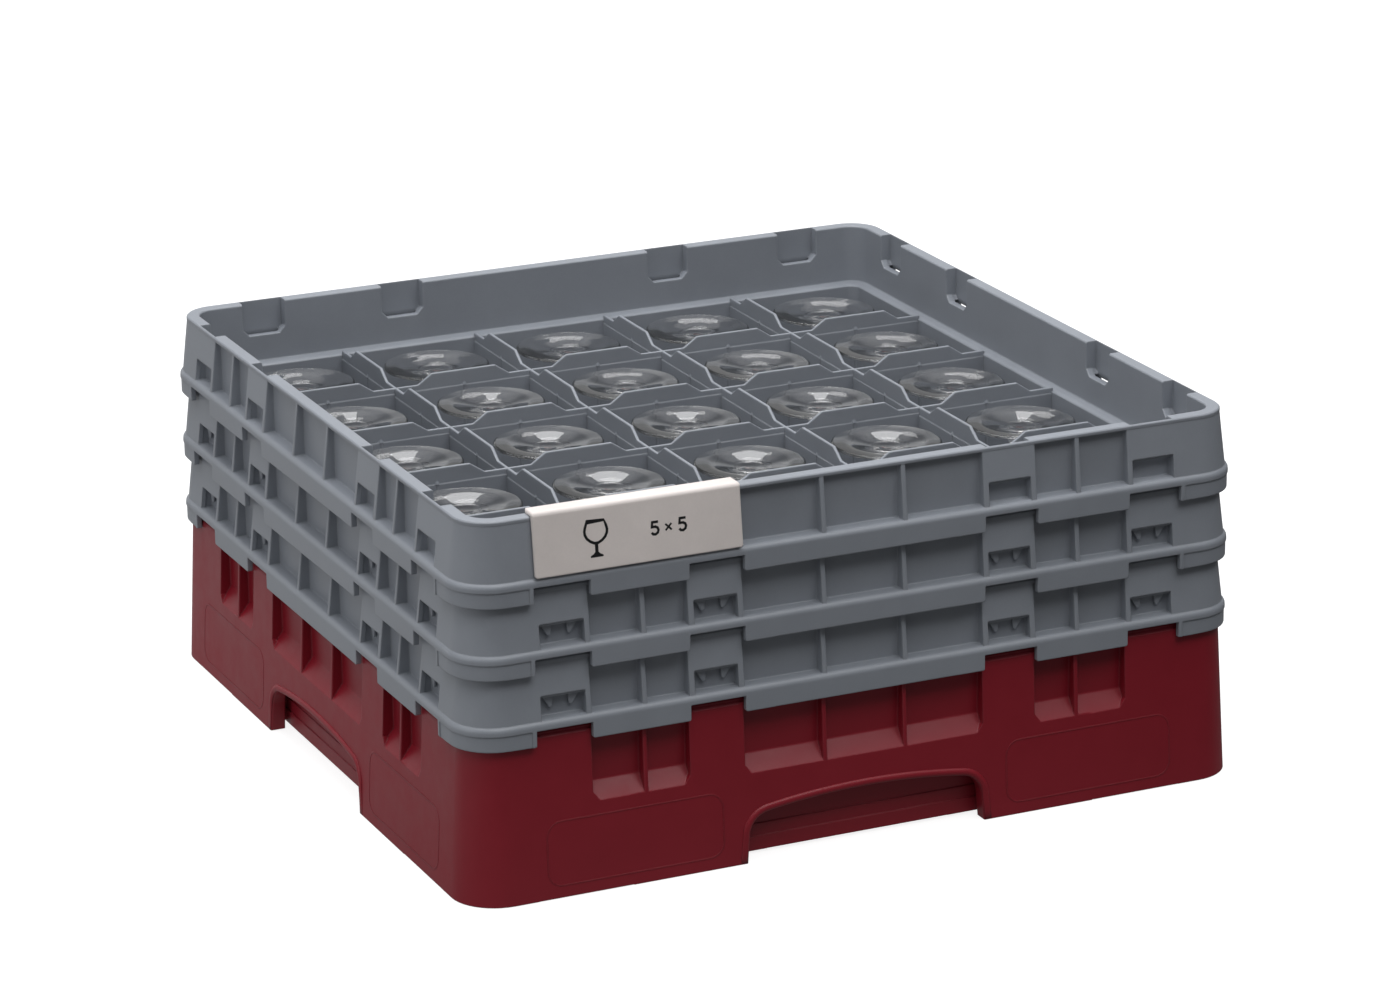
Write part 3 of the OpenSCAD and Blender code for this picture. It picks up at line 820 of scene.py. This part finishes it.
def floor_material():
    material, N, surface, position = new_material("floor_look")
    paper = N.new("ShaderNodeBsdfDiffuse", Color=N.mix(
        N.noise(position, scale=2.0, detail=2.0), (0.30, 0.30, 0.30), (0.33, 0.33, 0.33)))
    # to the camera: nearly white paper with only a trace of contact shadow
    white = N.new("ShaderNodeEmission", Color=(1, 1, 1), Strength=0.86)
    seen = N.combine("ShaderNodeAddShader", paper.outputs[0], white.outputs[0])
    # to everything else: a soft pool of light, brighter behind and to the left
    across, deep, _ = N.new("ShaderNodeSeparateXYZ", Vector=position).outputs
    back_weight, right_weight = 0.8, -0.6
    toward = N.math("ADD", N.math("MULTIPLY", deep, back_weight),
                    N.math("MULTIPLY", across, right_weight))
    pool = N.ramp(toward, source=(-0.5, 0.5), target=(FLOOR_FRONT, FLOOR_BACK))
    glow = N.new("ShaderNodeEmission", Strength=pool)
    rays = N.new("ShaderNodeLightPath").outputs
    N.feed(surface, N.combine("ShaderNodeMixShader", rays["Is Camera Ray"],
                              glow.outputs[0], seen))
    return material


bm = bmesh.new()
bmesh.ops.create_grid(bm, x_segments=1, y_segments=1, size=FLOOR_SIZE)
floor_mesh = to_mesh(bm, "floor_mesh")
floor = bpy.data.objects.new("floor", floor_mesh)
scene.collection.objects.link(floor)
floor.location.z = FLOOR_Z
floor_mesh.materials.append(floor_material())


# ---------------------------------------------------------------- world
# soft sky: one strength overhead, and (front, back, left, right) for a middle and a low band
SKY_CAP = 1.34
SKY_MID = (0.02, 0.12, 0.05, 0.0)
SKY_LOW = (0.22, 0.80, 0.26, 0.08)


def build_sky(world):
    N = Nodes(world)
    output = N.new("ShaderNodeOutputWorld")
    seen = N.new("ShaderNodeBackground", Color=(1, 1, 1), Strength=1.05)
    direction = N.new("ShaderNodeTexCoord").outputs["Generated"]
    x, y, z = N.new("ShaderNodeSeparateXYZ", Vector=direction).outputs
    squares = N.math("ADD", N.math("MULTIPLY", x, x), N.math("MULTIPLY", y, y))
    tiny = 1e-6  # keeps the division below safe straight overhead
    level = N.math("SQRT", N.math("ADD", squares, tiny))

    def lobe(axis, sign):
        """Squared cosine of the heading from one side, and nothing behind it."""
        facing = N.math("MAXIMUM", N.math("MULTIPLY", axis, sign), 0.0)
        share = N.math("DIVIDE", facing, level)
        return N.math("MULTIPLY", share, share)

    cap = N.ramp(z, source=(0.55, 0.80), kind="SMOOTHSTEP")
    low = N.math("SUBTRACT", 1.0, N.ramp(z, source=(0.22, 0.42), kind="SMOOTHSTEP"))
    mid = N.math("SUBTRACT", N.math("SUBTRACT", 1.0, cap), low)
    lobes = [lobe(y, -1), lobe(y, 1), lobe(x, -1), lobe(x, 1)]
    strength = N.math("MULTIPLY", cap, SKY_CAP)
    for band, amounts in ((mid, SKY_MID), (low, SKY_LOW)):
        part = 0.0
        for heading, amount in zip(lobes, amounts):
            part = N.math("ADD", N.math("MULTIPLY", heading, amount), part)
        strength = N.math("ADD", strength, N.math("MULTIPLY", band, part))
    # dark below the horizon
    strength = N.math("MULTIPLY", strength, N.math("GREATER_THAN", z, 0.0))
    sky = N.new("ShaderNodeBackground", Color=(0.985, 0.992, 1.0), Strength=strength)
    rays = N.new("ShaderNodeLightPath").outputs
    N.feed(output.inputs[0], N.combine("ShaderNodeMixShader", rays["Is Camera Ray"],
                                       sky.outputs[0], seen.outputs[0]))


scene.world = bpy.data.worlds.new("studio")
build_sky(scene.world)


# ---------------------------------------------------------------- lights
LIGHT_AIM = Vector((0, 0, 0.15))


def softbox(name, place, size, power):
    data = bpy.data.lights.new(name, "AREA")
    data.shape = "RECTANGLE"
    data.size, data.size_y = size
    data.energy = power
    light = bpy.data.objects.new(name, data)
    scene.collection.objects.link(light)
    light.location = place
    light.rotation_mode = "QUATERNION"
    light.rotation_quaternion = (LIGHT_AIM - Vector(place)).to_track_quat("-Z", "Y")
    light.visible_camera = False


softbox("box_top", place=(-0.2, 0.1, 2.2), size=(1.3, 1.3), power=19.5)
softbox("box_back", place=(0.585, 1.287, 1.614), size=(0.72, 0.6), power=4.2)
softbox("box_left", place=(-2.2, -0.3, 0.8), size=(1.2, 0.8), power=5.2)
softbox("box_front", place=(0.2, -1.4, 2.05), size=(1.5, 0.8), power=11.5)

scene.view_settings.view_transform = "Standard"
scene.view_settings.look = "None"
scene.view_settings.exposure = 0.0
scene.view_settings.gamma = 1.0
